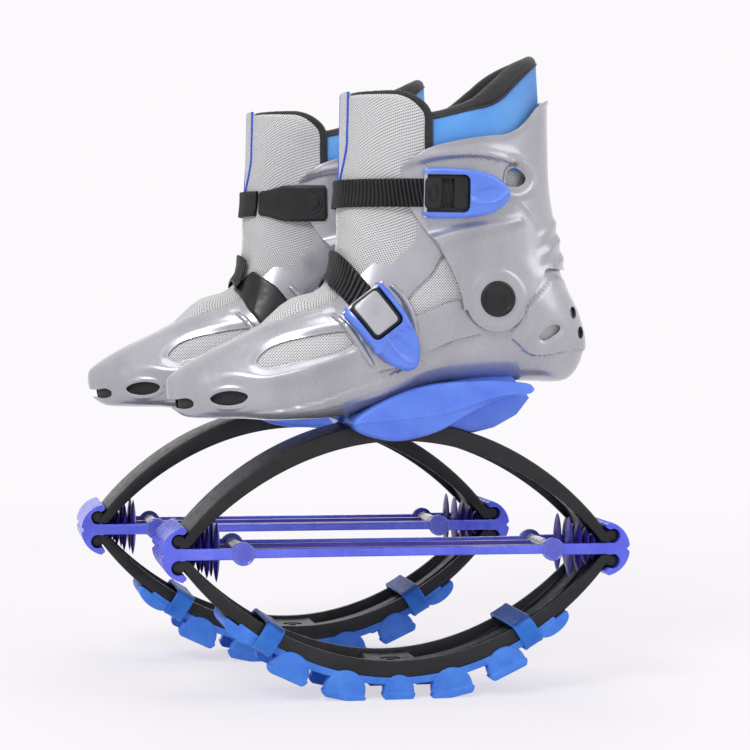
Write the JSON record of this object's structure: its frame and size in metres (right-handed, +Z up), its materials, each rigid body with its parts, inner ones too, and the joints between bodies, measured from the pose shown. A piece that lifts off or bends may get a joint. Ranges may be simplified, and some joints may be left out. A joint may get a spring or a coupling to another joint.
{
  "type": "jumping shoes",
  "caption": "Pair of rebound shoes: moulded buckle boots, each on a spring of two bowed leaf arches held by tension bars, with a rubber lug tread.",
  "frame": {"origin": "centre of the pair's bounding box at floor level, under both treads", "axes": "+Z up, toes towards -X, the wearer's left shoe on the -Y side and the right one on the +Y side"},
  "size_m": [0.4014, 0.2934, 0.4799],
  "materials": {
    "tread_rubber": "matte moulded",
    "blue_plastic": "glossy moulded",
    "black_nylon": "mottled sheen",
    "violet_plastic": "glossy moulded",
    "indigo_rubber": "soft moulded",
    "steel": "plain",
    "pearl_plastic": "pearl silver",
    "grey_mesh": "spacer mesh",
    "blue_fabric": "smooth knit",
    "black_trim": "satin"
  },
  "bodies": {
    "ground": {"left_tread": "tread_rubber", "left_front_tread_clip": "blue_plastic", "left_rear_tread_clip": "blue_plastic", "left_lower_arch": "black_nylon", "right_tread": "tread_rubber", "right_front_tread_clip": "blue_plastic", "right_rear_tread_clip": "blue_plastic", "right_lower_arch": "black_nylon"},
    "left_spring_ends": {"left_front_hub": "violet_plastic", "left_rear_hub": "violet_plastic", "left_side_bar_outer": "violet_plastic", "left_side_bar_inner": "violet_plastic", "left_fin_band_outer": "indigo_rubber", "left_fin_band_inner": "indigo_rubber", "left_front_cross_rod": "steel", "left_rear_cross_rod": "steel", "left_upper_arch": "black_nylon"},
    "left_boot": {"left_arch_bolt": "steel", "left_sole_plate": "blue_plastic", "left_boot_shell": "pearl_plastic", "left_liner_boot": "grey_mesh", "left_liner_collar": "blue_fabric", "left_tongue": "grey_mesh", "left_pivot_outer": "black_trim", "left_pivot_inner": "black_trim", "left_instep_strap": "black_trim", "left_instep_strap_pad": "black_trim", "left_instep_buckle_frame": "black_trim"},
    "left_instep_lever": {"left_instep_buckle_lever": "blue_plastic"},
    "left_cuff": {"left_cuff": "pearl_plastic", "left_ankle_strap": "black_trim", "left_ankle_strap_pad": "black_trim", "left_ankle_buckle_frame": "black_trim"},
    "left_ankle_lever": {"left_ankle_buckle_lever": "blue_plastic"},
    "right_spring_ends": {"right_front_hub": "violet_plastic", "right_rear_hub": "violet_plastic", "right_side_bar_outer": "violet_plastic", "right_side_bar_inner": "violet_plastic", "right_fin_band_outer": "indigo_rubber", "right_fin_band_inner": "indigo_rubber", "right_front_cross_rod": "steel", "right_rear_cross_rod": "steel", "right_upper_arch": "black_nylon"},
    "right_boot": {"right_arch_bolt": "steel", "right_sole_plate": "blue_plastic", "right_boot_shell": "pearl_plastic", "right_liner_boot": "grey_mesh", "right_liner_collar": "blue_fabric", "right_tongue": "grey_mesh", "right_pivot_outer": "black_trim", "right_pivot_inner": "black_trim", "right_instep_strap": "black_trim", "right_instep_strap_pad": "black_trim", "right_instep_buckle_frame": "black_trim"},
    "right_instep_lever": {"right_instep_buckle_lever": "blue_plastic"},
    "right_cuff": {"right_cuff": "pearl_plastic", "right_ankle_strap": "black_trim", "right_ankle_strap_pad": "black_trim", "right_ankle_buckle_frame": "black_trim"},
    "right_ankle_lever": {"right_ankle_buckle_lever": "blue_plastic"}
  },
  "joints": [
    {"name": "left_spring_squash", "type": "slide", "parent": "ground", "child": "left_spring_ends", "axis": [0, 0, -1], "range_m": [0, 0.025], "stiffness_N_per_m": 24000, "springref_m": -0.002, "deforming": ["left_lower_arch", "left_tread", "left_front_tread_clip", "left_rear_tread_clip"]},
    {"name": "left_boot_press", "type": "slide", "parent": "left_spring_ends", "child": "left_boot", "axis": [0, 0, -1], "range_m": [0, 0.025], "stiffness_N_per_m": 24000, "springref_m": -0.002, "deforming": ["left_upper_arch"]},
    {"name": "left_cuff_flex", "type": "hinge", "parent": "left_boot", "child": "left_cuff", "pos_m": [0.09025, -0.0875, 0.2965], "axis": [0, -1, 0], "range_deg": [-2, 10], "deforming": ["left_liner_boot", "left_liner_collar", "left_tongue"]},
    {"name": "left_ankle_lever_swing", "type": "hinge", "parent": "left_cuff", "child": "left_ankle_lever", "pos_m": [0.03394, -0.14086, 0.37264], "axis": [0.0064, 0.0603, -0.9982], "range_deg": [0, 95]},
    {"name": "left_instep_lever_swing", "type": "hinge", "parent": "left_boot", "child": "left_instep_lever", "pos_m": [-0.01113, -0.13455, 0.29702], "axis": [-0.7936, -0.0373, -0.6073], "range_deg": [0, 95]},
    {"name": "right_spring_squash", "type": "slide", "parent": "ground", "child": "right_spring_ends", "axis": [0, 0, -1], "range_m": [0, 0.025], "stiffness_N_per_m": 24000, "springref_m": -0.002, "deforming": ["right_lower_arch", "right_tread", "right_front_tread_clip", "right_rear_tread_clip"]},
    {"name": "right_boot_press", "type": "slide", "parent": "right_spring_ends", "child": "right_boot", "axis": [0, 0, -1], "range_m": [0, 0.025], "stiffness_N_per_m": 24000, "springref_m": -0.002, "deforming": ["right_upper_arch"]},
    {"name": "right_cuff_flex", "type": "hinge", "parent": "right_boot", "child": "right_cuff", "pos_m": [0.04475, 0.0875, 0.2965], "axis": [0, -1, 0], "range_deg": [-2, 10], "deforming": ["right_liner_boot", "right_liner_collar", "right_tongue"]},
    {"name": "right_ankle_lever_swing", "type": "hinge", "parent": "right_cuff", "child": "right_ankle_lever", "pos_m": [-0.01156, 0.14086, 0.37264], "axis": [-0.0064, 0.0603, 0.9982], "range_deg": [0, 95]},
    {"name": "right_instep_lever_swing", "type": "hinge", "parent": "right_boot", "child": "right_instep_lever", "pos_m": [-0.05663, 0.13455, 0.29702], "axis": [0.7936, -0.0373, 0.6073], "range_deg": [0, 95]}
  ],
  "couplings": [
    {"joint": "left_boot_press", "follows": "left_spring_squash", "ratio": 1},
    {"joint": "right_boot_press", "follows": "right_spring_squash", "ratio": 1}
  ]
}
